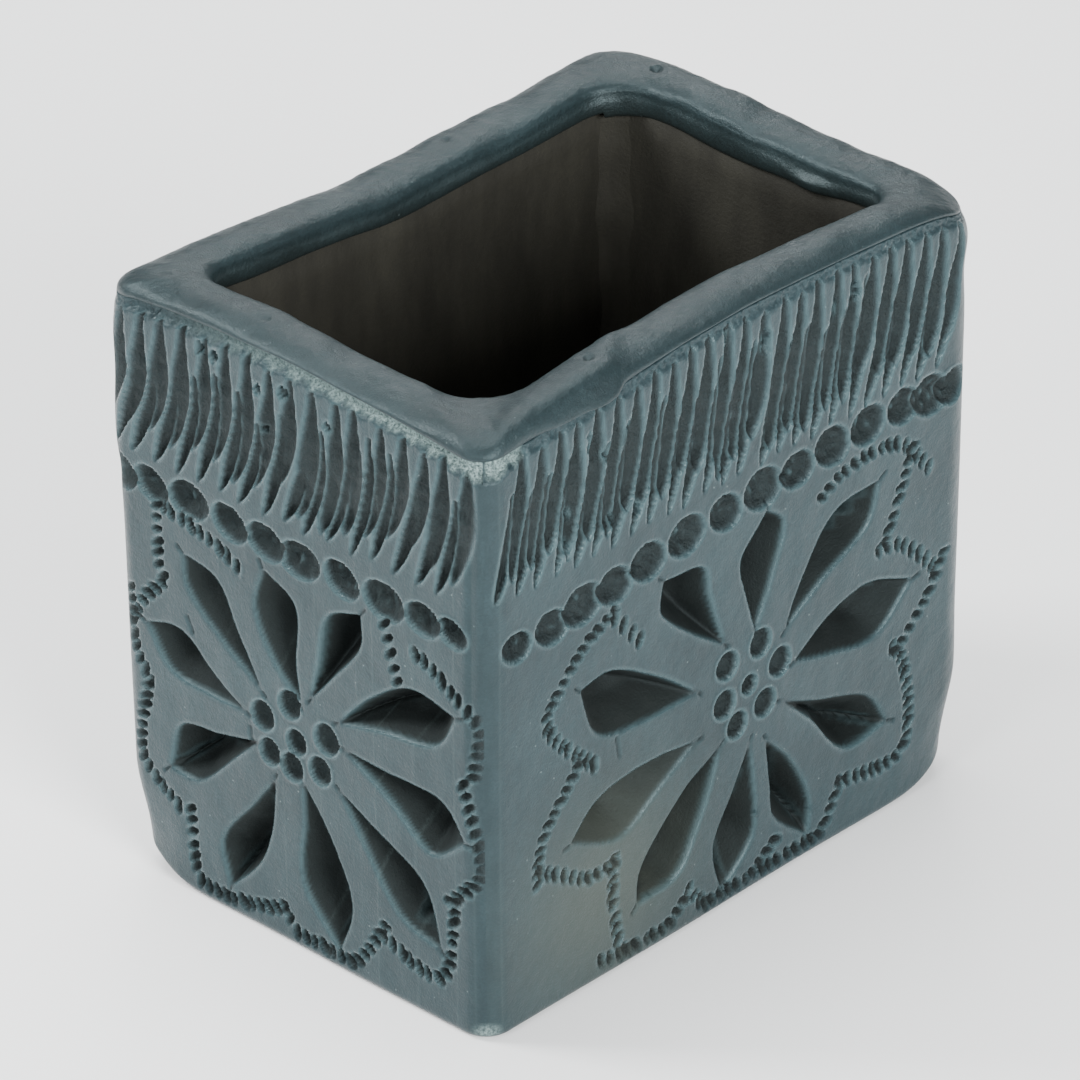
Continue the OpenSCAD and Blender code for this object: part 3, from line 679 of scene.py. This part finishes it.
def makeRim():
    # a closed L-shaped section carried round the mouth: each section point lies between the
    # outer loop and the mouth loop, with slow changes in height and width as fingers leave them
    left, right, front, back = [float(v) for v in sides(np.array(wallHigh))]
    wide = rimSizes["wide"]
    outer = loopPoints(left, right, front, back, body["cornerR"])
    mouth = loopPoints(left + wide["left"], right - wide["right"], front + wide["front"],
                       back - wide["back"], rimSizes["mouthR"])
    n = len(outer)
    inward = mouth - outer
    width = np.hypot(*inward.T)[:, None]
    inward = inward / width
    over = curveThrough(rimSizes["over"], 5)
    lip = curveThrough([(-0.15, -1.3)] + rimSizes["lip"], 4)[4:]
    high = potHigh - wallHigh
    run = np.arange(n) / n * 2 * math.pi
    lump = (0.14 * np.sin(5 * run + 0.5) + 0.12 * np.sin(11 * run + 2) + 0.08 * np.sin(23 * run + 1))[:, None]
    thick = 1 + 0.02 * np.sin(7 * run + 1.1)[:, None]
    x0 = outer[:, :1]
    isFront = (outer[:, 1:2] < front + 1) * 1.0
    fold = isFront * smooth(-x0, 23.5, 25.0) * (1 - smooth(-x0, 33, 43))      # heavier fold near the corner
    bump = isFront * np.exp(-((x0 + 27) / 3.2) ** 2)
    cornerDip = bell(np.hypot(x0 + potHalfW, outer[:, 1:2] + potHalfD), 5.0)
    atCorner = sum(bell(np.hypot(x0 - sx * potHalfW, outer[:, 1:2] - sy * potHalfD), 4.5)
                   for sx, sy in ((-1, 1), (1, -1), (1, 1)))
    low = (1 - smooth(over[None, :, 1], 0.0, 0.35)) * (over[None, :, 0] < 0.4)
    share = over[None, :, 0] * (1 - 0.8 * np.clip(1.3 * atCorner, 0, 1) * low)
    acrossOver = share * width * thick
    heightOver = wallHigh + over[None, :, 1] * high + lump * smooth(over[None, :, 1], 0.2, 0.9)
    outside = np.exp(-(over[None, :, 0] / 0.12) ** 2)
    acrossOver = acrossOver - outside * (0.55 * fold + 0.5 * bump + 0.15 * cornerDip)
    heightOver = heightOver - outside * (0.9 * fold + 0.5 * bump) + 0.35 * bump * (1 - outside)
    rightSide = (x0 > right - 3) * 1.0
    gouge = np.exp(-((outer[:, 1:2] + 16) / 5) ** 2) * rightSide          # fingertip dent in the lip
    droop = 1 + 0.45 * rightSide * smooth(outer[:, 1:2], -30, -10) + 0.12 * np.sin(9 * run + 2)[:, None]
    acrossLip = width * thick + lip[None, :, 0] * (1 + 0.3 * np.sin(13 * run + 0.3)[:, None]) \
        + 0.9 * gouge * smooth(lip[None, :, 1], -0.2, 0.8)
    heightLip = wallHigh - lip[None, :, 1] * droop + 0.4 * lump
    # hidden closing part: along the inside of the wall, over its top, back to the seam
    inner = wallThick + 0.02
    closeAcross = np.array([inner - 0.3, inner, inner, 5.5, 3.0])[None, :] * np.ones((n, 1))
    closeHeight = wallHigh + np.array([-3.3, -2.6, 0.0, 0.0, 0.0])[None, :] * np.ones((n, 1))
    closeAcross[:, :2] = np.minimum(closeAcross[:, :2], acrossLip[:, -1:] - 0.2)
    across = np.hstack([acrossOver, acrossLip, closeAcross])
    height = np.hstack([heightOver, heightLip, closeHeight])
    m = across.shape[1]
    xy = outer[:, None, :] + inward[:, None, :] * across[:, :, None]
    shown = np.concatenate([smooth(over[:, 1], 0.05, 0.4), 1 - smooth(lip[:, 1], 1.0, 2.0), np.zeros(5)])
    x, y = xy[:, :, 0], xy[:, :, 1]
    uneven = sum(size * ripple(x, y, height, long, seed) for size, long, seed in rimSizes["ripples"])
    height = height + shown * uneven
    for px, py, r, deep in rimSizes["pits"]:
        height = height - shown * deep * np.clip(1 - ((x - px) ** 2 + (y - py) ** 2) / r ** 2, 0, 1)
    points = np.concatenate([xy, height[:, :, None]], axis=2).reshape(-1, 3)
    faces = gridFaces(n, m, wrapRows=True, wrapCols=True)[:, ::-1]      # the section runs outside first
    inside = np.tile(np.concatenate([np.zeros(len(over)), np.linspace(0.2, 1, len(lip)), np.ones(5)]), n)
    piece = putMesh("potRim", points, faces.tolist(), {"insideMark": inside})
    print("rim:", n, "x", m, "points")
    return piece


rim = makeRim()


innerLeft, innerRight = -potHalfW + wallThick, potHalfW - wallThick
innerFront, innerBack = -potHalfD + wallThick, potHalfD - wallThick
inside = {
    "coilR": 7.0, "coilTop": wallHigh - 3.5, "coilRows": 60,
    "floorCoilR": 4.0, "dish": 0.5, "smear": 0.25, "floorGrid": (110, 76),
}


def makeFloor():
    # two sheets, the upper one dished and smeared by fingers, joined round the edge
    nx, ny = inside["floorGrid"]
    gx, gy = np.meshgrid(np.linspace(innerLeft, innerRight, nx), np.linspace(innerFront, innerBack, ny))
    u, v = gx / innerRight, gy / innerBack
    top = floorHigh - inside["dish"] * (1 - u ** 2) * (1 - v ** 2)
    top = top + inside["smear"] * np.sin(gx * 0.35 + 1.5 * np.sin(gy * 0.12)) * (1 - u ** 4) * (1 - v ** 4)
    under = np.stack([gx, gy, 0 * gx], axis=-1)
    points = np.concatenate([np.stack([gx, gy, top], axis=-1).reshape(-1, 3), under.reshape(-1, 3)])
    faces = gridFaces(ny, nx).tolist()
    n = nx * ny
    faces += (gridFaces(ny, nx)[:, ::-1] + n).tolist()
    ring = np.concatenate([np.arange(nx), np.arange(1, ny) * nx + nx - 1,
                           (ny - 1) * nx + np.arange(nx - 2, -1, -1), np.arange(ny - 2, 0, -1) * nx])
    follow = np.roll(ring, -1)
    skirt = np.stack([ring + n, follow + n, follow, ring], axis=1).tolist()
    flat = len(faces)
    return putMesh("floorSlab", points, faces + skirt, flatFrom=flat)


def makeCornerCoil(name, sx, sy, seed):
    # concave quarter round: (r(1 - sin t), r(1 - cos t)) in from the corner, and the corner itself,
    # carried up with r swelling and shrinking as the coil was pressed in
    t = np.linspace(0, math.pi / 2, 22)
    rows = inside["coilRows"]
    z = np.linspace(floorHigh, inside["coilTop"], rows)[:, None]
    r = inside["coilR"] * (1 + 0.07 * np.sin(z * 0.23 + seed) + 0.05 * np.sin(z * 0.61 + 2 * seed))
    x, y = np.hstack([r * (1 - np.sin(t)), 0 * r]), np.hstack([r * (1 - np.cos(t)), 0 * r])
    cx, cy = (innerRight if sx > 0 else innerLeft), (innerBack if sy > 0 else innerFront)
    m = x.shape[1]
    points = np.stack([cx - sx * x, cy - sy * y, np.repeat(z, m, axis=1)], axis=-1).reshape(-1, 3)
    way = 1 if sx * sy > 0 else -1               # mirrored corners are wound the other way round
    faces = gridFaces(rows, m, wrapCols=True)[:, ::way].tolist()
    ends = [list(range(m))[::-way], list(range((rows - 1) * m, rows * m))[::way]]
    return putMesh(name, points, faces + ends, flatFrom=len(faces))


def makeFloorCoil():
    # a concave fillet section carried round the floor's edge, waving a little in size
    r, big = inside["floorCoilR"], inside["coilR"]
    corner = {k: big for k in body["cornerR"]}
    outer = loopPoints(innerLeft, innerRight, innerFront, innerBack, corner)
    small = {k: big - r for k in corner}
    inner = loopPoints(innerLeft + r, innerRight - r, innerFront + r, innerBack - r, small)
    n = len(outer)
    run = np.arange(n) / n * 2 * math.pi
    t = np.linspace(0, math.pi / 2, 16)
    f, h = np.append(1 - np.cos(t), 0.0), np.append(1 - np.sin(t), 0.0)
    swell = (1 + 0.12 * np.sin(17 * run) + 0.08 * np.sin(29 * run + 1))[:, None]
    xy = outer[:, None, :] + (inner - outer)[:, None, :] * (f[None, :] * np.minimum(swell, 1.2))[:, :, None]
    height = floorHigh + r * h[None, :] * swell
    points = np.concatenate([xy, height[:, :, None]], axis=2).reshape(-1, 3)
    faces = gridFaces(n, len(f), wrapRows=True, wrapCols=True)[:, ::-1]
    return putMesh("floorCoil", points, faces.tolist())


floorSlab = makeFloor()
coils = [makeCornerCoil("coilFrontLeft", -1, -1, 0.3), makeCornerCoil("coilFrontRight", 1, -1, 1.9),
         makeCornerCoil("coilBackLeft", -1, 1, 3.1), makeCornerCoil("coilBackRight", 1, 1, 4.4)]
floorCoil = makeFloorCoil()
print("floor and coils made")


def colour(hexCode):
    # sRGB hex to linear, each channel ((c + 0.055) / 1.055) ^ 2.4 above the dark end
    parts = [int(hexCode[i:i + 2], 16) / 255 for i in (1, 3, 5)]
    return tuple(c / 12.92 if c <= 0.04045 else ((c + 0.055) / 1.055) ** 2.4 for c in parts) + (1.0,)


def addNode(tree, kind, inputs=None, **settings):
    # one node with its settings; each input is a fixed value or a socket to link from
    node = tree.nodes.new(kind)
    for key, value in settings.items():
        setattr(node, key, value)
    for key, value in (inputs or {}).items():
        if isinstance(value, bpy.types.NodeSocket):
            tree.links.new(value, node.inputs[key])
        else:
            node.inputs[key].default_value = value
    return node


def newMaterial(name):
    # an empty material with its shader and output
    material = bpy.data.materials.new(name)
    material.use_nodes = True
    tree = material.node_tree
    tree.nodes.clear()
    shader = addNode(tree, "ShaderNodeBsdfPrincipled")
    addNode(tree, "ShaderNodeOutputMaterial", {"Surface": shader.outputs[0]})
    return material, tree, shader


clay = {
    # some colours here are painted light: a highlight for ridges and cut edges, a pool of warm light, shade
    # for the deepest wells; the dark skin and cut tones also paint shade
    "skin": "#1f2c30", "skinLight": "#2b3c40", "skinDark": "#151e21", "edge": "#41565a", "warmLight": "#43473f",
    "cut": "#1b1b18", "cutDark": "#080807", "well": "#101413", "wellDeepShade": "#030303", "rimShade": "#131716",
    "pale": "#90a6a4", "paleDark": "#3a4746", "fleck": "#7c8a89",
    "inside": "#1b1a14", "insideLight": "#2c2b24", "soot": "#0f0f0b",
    "skinRough": 0.36, "cutRough": 0.62, "insideRough": 0.8,
    "ior": 1.5, "sheen": "#cfe6ea",     # fired clay; graphite-like cold sheen
    "cloudSize": 14.0,                  # mm, drifts of tone left by the smoke
    "blotchSize": 1.6, "fleckSpacing": 2.6,
    "streakSize": 0.7,                  # mm, burnishing strokes, drawn coarser than real ones
    "gritSize": 0.35,                   # mm, sand in the clay body, about fine-sand size
    "wipeSize": 9.0, "sootSize": 0.6,   # mm, finger wipes and soot inside
    "reliefHigh": 0.0003,               # m
}


def burnishedBlackClay(name, carved):
    # smoke-fired earthenware rubbed with quartz while leather-hard: dark, soft metallic sheen on
    # the skin, dry and brownish wherever a tool has cut through it
    material, tree, shader = newMaterial(name)
    where = addNode(tree, "ShaderNodeTexCoord").outputs["Object"]
    cloud = addNode(tree, "ShaderNodeTexNoise", {
        "Vector": where, "Scale": mm / clay["cloudSize"], "Detail": 4.0, "Roughness": 0.6}).outputs[0]
    blotch = addNode(tree, "ShaderNodeTexNoise", {
        "Vector": where, "Scale": mm / clay["blotchSize"], "Detail": 5.0, "Roughness": 0.7}).outputs[0]
    drawn = addNode(tree, "ShaderNodeMapping", {"Vector": where, "Scale": (1.0, 1.0, 0.14)}).outputs[0]
    streak = addNode(tree, "ShaderNodeTexNoise", {
        "Vector": drawn, "Scale": mm / clay["streakSize"], "Detail": 3.0, "Roughness": 0.6}).outputs[0]
    grit = addNode(tree, "ShaderNodeTexNoise", {
        "Vector": where, "Scale": mm / clay["gritSize"], "Detail": 3.0, "Roughness": 0.7}).outputs[0]
    specks = addNode(tree, "ShaderNodeTexVoronoi", {
        "Vector": where, "Scale": mm / clay["fleckSpacing"]}).outputs["Distance"]

    # skin: smoke clouds, then blotches, burnishing streaks and light flecks of sand over them
    smoke = addNode(tree, "ShaderNodeMapRange", {
        "Value": cloud, "From Min": 0.3, "From Max": 0.7}).outputs[0]
    base = addNode(tree, "ShaderNodeMix", {
        0: smoke, 6: colour(clay["skinDark"]), 7: colour(clay["skinLight"])}, data_type="RGBA").outputs[2]
    base = addNode(tree, "ShaderNodeMix", {
        0: 0.55, 6: base, 7: colour(clay["skin"])}, data_type="RGBA").outputs[2]
    blotches = addNode(tree, "ShaderNodeMapRange", {
        "Value": blotch, "From Min": 0.42, "From Max": 0.72, "To Max": 0.45}).outputs[0]
    base = addNode(tree, "ShaderNodeMix", {
        0: blotches, 6: base, 7: colour(clay["skinLight"])}, data_type="RGBA").outputs[2]
    streaks = addNode(tree, "ShaderNodeMapRange", {
        "Value": streak, "From Min": 0.5, "From Max": 0.8, "To Max": 0.35}).outputs[0]
    base = addNode(tree, "ShaderNodeMix", {
        0: streaks, 6: base, 7: colour(clay["skinDark"])}, data_type="RGBA").outputs[2]
    grain = addNode(tree, "ShaderNodeMapRange", {
        "Value": grit, "From Min": 0.42, "From Max": 0.62, "To Max": 0.5}).outputs[0]
    base = addNode(tree, "ShaderNodeMix", {
        0: grain, 6: base, 7: colour(clay["skinDark"])}, data_type="RGBA").outputs[2]
    flecks = addNode(tree, "ShaderNodeMapRange", {
        "Value": specks, "From Min": 0.035, "From Max": 0.06, "To Min": 0.5, "To Max": 0.0}).outputs[0]
    base = addNode(tree, "ShaderNodeMix", {
        0: flecks, 6: base, 7: colour(clay["fleck"])}, data_type="RGBA").outputs[2]
    rough = addNode(tree, "ShaderNodeMath", {
        0: blotch, 1: 0.22, 2: clay["skinRough"] - 0.1}, operation="MULTIPLY_ADD").outputs[0]
    relief = addNode(tree, "ShaderNodeMath", {0: blotch, 1: 0.5}, operation="MULTIPLY").outputs[0]
    relief = addNode(tree, "ShaderNodeMath", {
        0: grit, 1: 0.35, 2: relief}, operation="MULTIPLY_ADD").outputs[0]

    if carved:
        cutMark, wellMark, deepMark, warmLightMark, shadeMark, hollowMark, edgeMark, paleMark = [
            addNode(tree, "ShaderNodeAttribute", attribute_name=key + "Mark").outputs["Fac"]
            for key in ("cut", "well", "deep", "warmLight", "shade", "hollow", "edge", "pale")]
        # where a tool has cut: torn, gritty and dry
        cutTone = addNode(tree, "ShaderNodeMix", {
            0: streak, 6: colour(clay["cutDark"]), 7: colour(clay["cut"])}, data_type="RGBA").outputs[2]
        sand = addNode(tree, "ShaderNodeMapRange", {
            "Value": grit, "From Min": 0.35, "From Max": 0.7, "To Max": 0.4}).outputs[0]
        cutTone = addNode(tree, "ShaderNodeMix", {
            0: sand, 6: cutTone, 7: colour(clay["skin"])}, data_type="RGBA").outputs[2]
        base = addNode(tree, "ShaderNodeMix", {
            0: cutMark, 6: base, 7: cutTone}, data_type="RGBA").outputs[2]
        # wells: cut clay with painted shade, darker the deeper they go
        deep = addNode(tree, "ShaderNodeMath", {0: deepMark, 1: 0.5}, operation="POWER").outputs[0]
        wellTone = addNode(tree, "ShaderNodeMix", {
            0: deep, 6: colour(clay["well"]), 7: colour(clay["wellDeepShade"])}, data_type="RGBA").outputs[2]
        dust = addNode(tree, "ShaderNodeMath", {0: blotch, 1: 0.4}, operation="MULTIPLY").outputs[0]
        wellTone = addNode(tree, "ShaderNodeMix", {
            0: dust, 6: wellTone, 7: colour(clay["cut"])}, data_type="RGBA").outputs[2]
        base = addNode(tree, "ShaderNodeMix", {
            0: wellMark, 6: base, 7: wellTone}, data_type="RGBA").outputs[2]
        # painted light and shade: warm light low on the front, shade down the near corner, shade in the
        # hollows, highlights on ridges and edges
        for mark, amount, tone in ((warmLightMark, 0.55, "warmLight"), (shadeMark, 0.5, "skinDark"),
                                   (hollowMark, 0.7, "cutDark"), (edgeMark, 0.6, "edge")):
            share = addNode(tree, "ShaderNodeMath", {0: mark, 1: amount}, operation="MULTIPLY").outputs[0]
            base = addNode(tree, "ShaderNodeMix", {
                0: share, 6: base, 7: colour(clay[tone])}, data_type="RGBA").outputs[2]
        drier = clay["cutRough"] - clay["skinRough"]
        for mark, more in ((cutMark, drier), (wellMark, 0.35), (edgeMark, -0.25)):
            rough = addNode(tree, "ShaderNodeMath", {
                0: mark, 1: more, 2: rough}, operation="MULTIPLY_ADD").outputs[0]
        # tool chatter across the strokes, about 2 mm apart, with torn grit between
        chatter = addNode(tree, "ShaderNodeTexWave", {
            "Vector": where, "Scale": mm / 6.0, "Distortion": 6.0, "Detail": 2.0, "Detail Scale": 3.0},
            bands_direction="Z").outputs["Fac"]
        torn = addNode(tree, "ShaderNodeMath", {0: chatter, 1: 0.5}, operation="MULTIPLY").outputs[0]
        for value, share in ((streak, 1.2), (grit, 1.2)):
            torn = addNode(tree, "ShaderNodeMath", {
                0: value, 1: share, 2: torn}, operation="MULTIPLY_ADD").outputs[0]
        relief = addNode(tree, "ShaderNodeMath", {
            0: torn, 1: cutMark, 2: relief}, operation="MULTIPLY_ADD").outputs[0]
        # bare pale clay on the ledge
        crumbs = addNode(tree, "ShaderNodeMapRange", {
            "Value": grit, "From Min": 0.35, "From Max": 0.65}).outputs[0]
        paleTone = addNode(tree, "ShaderNodeMix", {
            0: crumbs, 6: colour(clay["paleDark"]), 7: colour(clay["pale"])}, data_type="RGBA").outputs[2]
        base = addNode(tree, "ShaderNodeMix", {
            0: paleMark, 6: base, 7: paleTone}, data_type="RGBA").outputs[2]
        rough = addNode(tree, "ShaderNodeMath", {
            0: paleMark, 1: 0.3, 2: rough}, operation="MULTIPLY_ADD").outputs[0]
        bare = addNode(tree, "ShaderNodeMath", {0: grit, 1: paleMark}, operation="MULTIPLY").outputs[0]
        relief = addNode(tree, "ShaderNodeMath", {
            0: bare, 1: 2.5, 2: relief}, operation="MULTIPLY_ADD").outputs[0]
    else:
        insideMark = addNode(tree, "ShaderNodeAttribute", attribute_name="insideMark").outputs["Fac"]
        base = addNode(tree, "ShaderNodeMix", {
            0: 0.4, 6: base, 7: colour(clay["rimShade"])}, data_type="RGBA").outputs[2]
        smoked = addNode(tree, "ShaderNodeMath", {0: insideMark, 1: 0.55}, operation="MULTIPLY").outputs[0]
        base = addNode(tree, "ShaderNodeMix", {
            0: smoked, 6: base, 7: colour(clay["inside"])}, data_type="RGBA").outputs[2]
        pores = addNode(tree, "ShaderNodeMapRange", {
            "Value": grit, "From Min": 0.62, "From Max": 0.75, "To Max": 0.5}).outputs[0]
        base = addNode(tree, "ShaderNodeMix", {
            0: pores, 6: base, 7: colour(clay["cutDark"])}, data_type="RGBA").outputs[2]

    bump = addNode(tree, "ShaderNodeBump", {
        "Strength": 0.8, "Distance": clay["reliefHigh"], "Height": relief}).outputs[0]
    for key, value in (("Base Color", base), ("Roughness", rough), ("Normal", bump)):
        tree.links.new(value, shader.inputs[key])
    shader.inputs["IOR"].default_value = clay["ior"]
    shader.inputs["Specular IOR Level"].default_value = 0.36
    shader.inputs["Specular Tint"].default_value = colour(clay["sheen"])
    return material


def smokedInside(name):
    # the same clay left as the hand wiped it: dry, brown-black, with soft vertical wipe marks
    material, tree, shader = newMaterial(name)
    where = addNode(tree, "ShaderNodeTexCoord").outputs["Object"]
    wipe = addNode(tree, "ShaderNodeMapping", {"Vector": where, "Scale": (1.0, 1.0, 0.3)}).outputs[0]
    cloud = addNode(tree, "ShaderNodeTexNoise", {
        "Vector": wipe, "Scale": mm / clay["wipeSize"], "Detail": 6.0, "Roughness": 0.65}).outputs[0]
    grit = addNode(tree, "ShaderNodeTexNoise", {
        "Vector": where, "Scale": mm / clay["sootSize"], "Detail": 3.0, "Roughness": 0.7}).outputs[0]
    wiped = addNode(tree, "ShaderNodeMapRange", {
        "Value": cloud, "From Min": 0.35, "From Max": 0.7}).outputs[0]
    base = addNode(tree, "ShaderNodeMix", {
        0: wiped, 6: colour(clay["inside"]), 7: colour(clay["insideLight"])}, data_type="RGBA").outputs[2]
    soot = addNode(tree, "ShaderNodeMath", {0: grit, 1: 0.35}, operation="MULTIPLY").outputs[0]
    base = addNode(tree, "ShaderNodeMix", {
        0: soot, 6: base, 7: colour(clay["soot"])}, data_type="RGBA").outputs[2]
    relief = addNode(tree, "ShaderNodeMath", {0: cloud, 1: grit}, operation="ADD").outputs[0]
    bump = addNode(tree, "ShaderNodeBump", {
        "Strength": 0.5, "Distance": clay["reliefHigh"], "Height": relief}).outputs[0]
    for key, value in (("Base Color", base), ("Normal", bump)):
        tree.links.new(value, shader.inputs[key])
    shader.inputs["Roughness"].default_value = clay["insideRough"]
    shader.inputs["Specular IOR Level"].default_value = 0.3
    return material


wallClay = burnishedBlackClay("burnished black earthenware, carved", True)
rimClay = burnishedBlackClay("burnished black earthenware, rim", False)
insideClay = smokedInside("smoked black earthenware, wiped inside")
print("finishes made")

for piece, node, slotName, materials in (
        (frontWall, "front_wall", "wall_clay", (wallClay, insideClay)),
        (backWall, "back_wall", "wall_clay", (wallClay, insideClay)),
        (leftWall, "left_wall", "wall_clay", (wallClay, insideClay)),
        (rightWall, "right_wall", "wall_clay", (wallClay, insideClay)),
        (rim, "rim", "rim_clay", (rimClay,)),
        (floorSlab, "floor_slab", "inner_clay", (insideClay,)),
        (floorCoil, "floor_coil", "inner_clay", (insideClay,)),
        (coils[0], "coil_front_left", "inner_clay", (insideClay,)),
        (coils[1], "coil_front_right", "inner_clay", (insideClay,)),
        (coils[2], "coil_back_left", "inner_clay", (insideClay,)),
        (coils[3], "coil_back_right", "inner_clay", (insideClay,))):
    for material in materials:
        piece.data.materials.append(material)
    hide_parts(node)
    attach(piece, "root")


studio = {
    "floor": "#f8f9f9", "floorHalf": 3.0, "floorUnder": 0.00005,     # m, just under the foot
    "sky": 0.5, "skyTint": (0.93, 0.98, 1.0, 1.0),
    "lights": [                         # position in m, size in m, watts, aim height in m
        ((-0.3, -1.0, 0.5), 0.5, 24.0, 0.04),
        ((-1.0, -0.1, 0.5), 0.4, 7.0, 0.05),
        ((-0.5, 0.75, 0.8), 0.35, 15.0, 0.09),
        ((0.2, 0.3, 1.5), 0.9, 20.0, 0.0),
        ((0.72, 0.68, 0.6), 0.2, 1.9, 0.09),
    ],
}
floorMesh = bpy.data.meshes.new("studioFloor")
half, under = studio["floorHalf"], studio["floorUnder"]
floorMesh.from_pydata([(x * half, y * half, -under) for x, y in ((-1, -1), (1, -1), (1, 1), (-1, 1))],
                      [], [(0, 1, 2, 3)])
studioFloor = bpy.data.objects.new("studioFloor", floorMesh)
bpy.context.scene.collection.objects.link(studioFloor)
paper, _, paperShader = newMaterial("pale studio paper")
paperShader.inputs["Base Color"].default_value = colour(studio["floor"])
paperShader.inputs["Roughness"].default_value = 0.9
floorMesh.materials.append(paper)

world = bpy.data.worlds.new("studioSky")
bpy.context.scene.world = world
world.use_nodes = True
world.node_tree.nodes["Background"].inputs[0].default_value = studio["skyTint"]
world.node_tree.nodes["Background"].inputs[1].default_value = studio["sky"]
for number, (place, size, watts, aim) in enumerate(studio["lights"]):
    lamp = bpy.data.lights.new("softbox%d" % number, "AREA")
    lamp.shape, lamp.size, lamp.energy = "SQUARE", size, watts
    holder = bpy.data.objects.new(lamp.name, lamp)
    holder.location = place
    holder.rotation_euler = (Vector((0, 0, aim)) - Vector(place)).to_track_quat("-Z", "Y").to_euler()
    bpy.context.scene.collection.objects.link(holder)

# long lens, a third of the way up, looking across the near corner, with a slight tilt of the frame
view = {"azimuth": -46.2, "elevation": 30.0, "roll": -0.664, "away": 1.0654, "lens": 255.0,
        "aim": (0.0, 0.00045, 0.0461), "shift": (-0.00795, -0.01046)}
az, el, roll = [math.radians(view[k]) for k in ("azimuth", "elevation", "roll")]
backward = Vector((math.sin(az) * math.cos(el), -math.cos(az) * math.cos(el), math.sin(el)))
sideways = (-backward).cross(Vector((0, 0, 1))).normalized()
upward = sideways.cross(-backward)
cameraX = math.cos(roll) * sideways + math.sin(roll) * upward
cameraY = -math.sin(roll) * sideways + math.cos(roll) * upward
camera = bpy.data.objects.new("studioCamera", bpy.data.cameras.new("studioCamera"))
camera.data.lens, camera.data.sensor_width = view["lens"], 36.0
camera.data.shift_x, camera.data.shift_y = view["shift"]
camera.data.clip_start, camera.data.clip_end = 0.05, 20.0
turnTo = Matrix((cameraX, cameraY, backward)).transposed().to_4x4()
camera.matrix_world = Matrix.Translation(Vector(view["aim"]) + backward * view["away"]) @ turnTo
bpy.context.scene.collection.objects.link(camera)
bpy.context.scene.camera = camera
print("studio ready")
